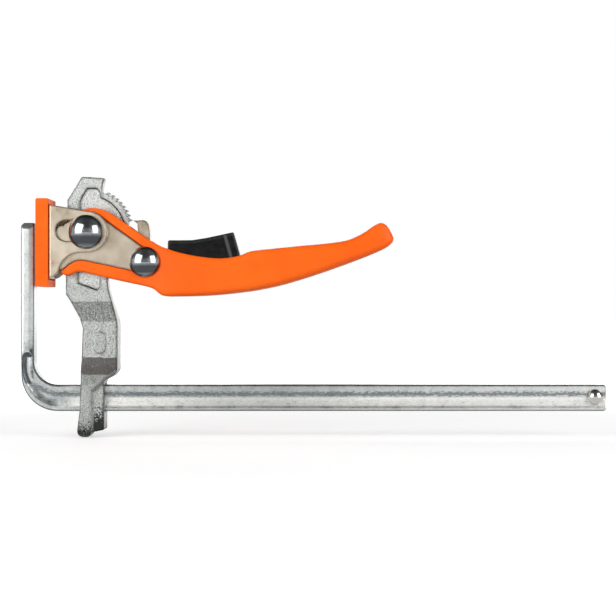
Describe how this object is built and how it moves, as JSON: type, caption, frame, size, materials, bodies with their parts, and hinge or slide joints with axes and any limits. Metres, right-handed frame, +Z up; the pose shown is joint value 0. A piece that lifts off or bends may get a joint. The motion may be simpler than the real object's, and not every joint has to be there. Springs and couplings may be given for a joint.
{
  "type": "quick release bar clamp",
  "caption": "Bar clamp: a grooved steel rail bent into a fixed jaw, a sliding forged arm, and an orange ratchet lever whose cam pushes a padded bracket, with a black release trigger.",
  "frame": {"origin": "under the middle of the clamp's bounding box, at the height of the arm's foot", "axes": "+X along the rail from the fixed jaw to the stop rivet, +Y across the clamp away from the pictured side, +Z up the jaws"},
  "size_m": [0.3524, 0.0384, 0.1567],
  "materials": {
    "zinc_steel": "bright zinc plate, drawn along the rail",
    "forged_steel": "bright zinc plate over a rough forged skin",
    "rivet_steel": "polished",
    "plain_steel": "turned, bright",
    "nickel_sheet": "satin nickel plate, warm grey",
    "spring_steel": "drawn wire",
    "orange_enamel": "gloss powder coat",
    "orange_plastic": "satin moulded",
    "black_plastic": "gloss moulded"
  },
  "bodies": {
    "rail": {"rail": "zinc_steel", "rail_stop_rivet": "rivet_steel"},
    "arm": {"sliding_arm": "forged_steel", "pivot_rivet": "rivet_steel", "pivot_bush": "plain_steel", "pivot_washer_front": "plain_steel", "pivot_washer_rear": "plain_steel", "shim_washer_front": "plain_steel", "shim_washer_rear": "plain_steel"},
    "pad": {"pad_bracket": "nickel_sheet", "clamping_pad": "orange_plastic"},
    "lever": {"lever_handle": "orange_enamel", "cam_plate_front": "nickel_sheet", "cam_plate_rear": "nickel_sheet", "lever_rivet": "rivet_steel", "pawl_sleeve": "plain_steel", "trigger_pin": "plain_steel", "pawl_spring": "spring_steel"},
    "pawl": {"pawl": "nickel_sheet"},
    "trigger": {"release_trigger": "black_plastic"}
  },
  "joints": [
    {"name": "arm_slide", "type": "slide", "parent": "rail", "child": "arm", "axis": [1, 0, 0], "range_m": [-0.002, 0.29059]},
    {"name": "lever_pivot", "type": "hinge", "parent": "arm", "child": "lever", "pos_m": [-0.1361, 0, 0.12295], "axis": [0, -1, 0], "range_deg": [0, 45.5]},
    {"name": "pad_slide", "type": "slide", "parent": "arm", "child": "pad", "axis": [1, 0, 0], "range_m": [0, 0.00741]},
    {"name": "trigger_press", "type": "hinge", "parent": "lever", "child": "trigger", "pos_m": [-0.0521, 0, 0.10295], "axis": [0, -1, 0], "range_deg": [-2.97, 2], "stiffness_Nm_per_rad": 0.3, "springref_deg": -5.97, "deforming": ["pawl_spring"]},
    {"name": "pawl_pivot", "type": "hinge", "parent": "lever", "child": "pawl", "pos_m": [-0.1014, 0, 0.10525], "axis": [0, 1, 0], "range_deg": [-5.45, 3.73]}
  ],
  "couplings": [
    {"joint": "pad_slide", "follows": "lever_pivot", "m_per_rad": 0.0092},
    {"joint": "pawl_pivot", "follows": "trigger_press", "ratio": 1.8171}
  ]
}
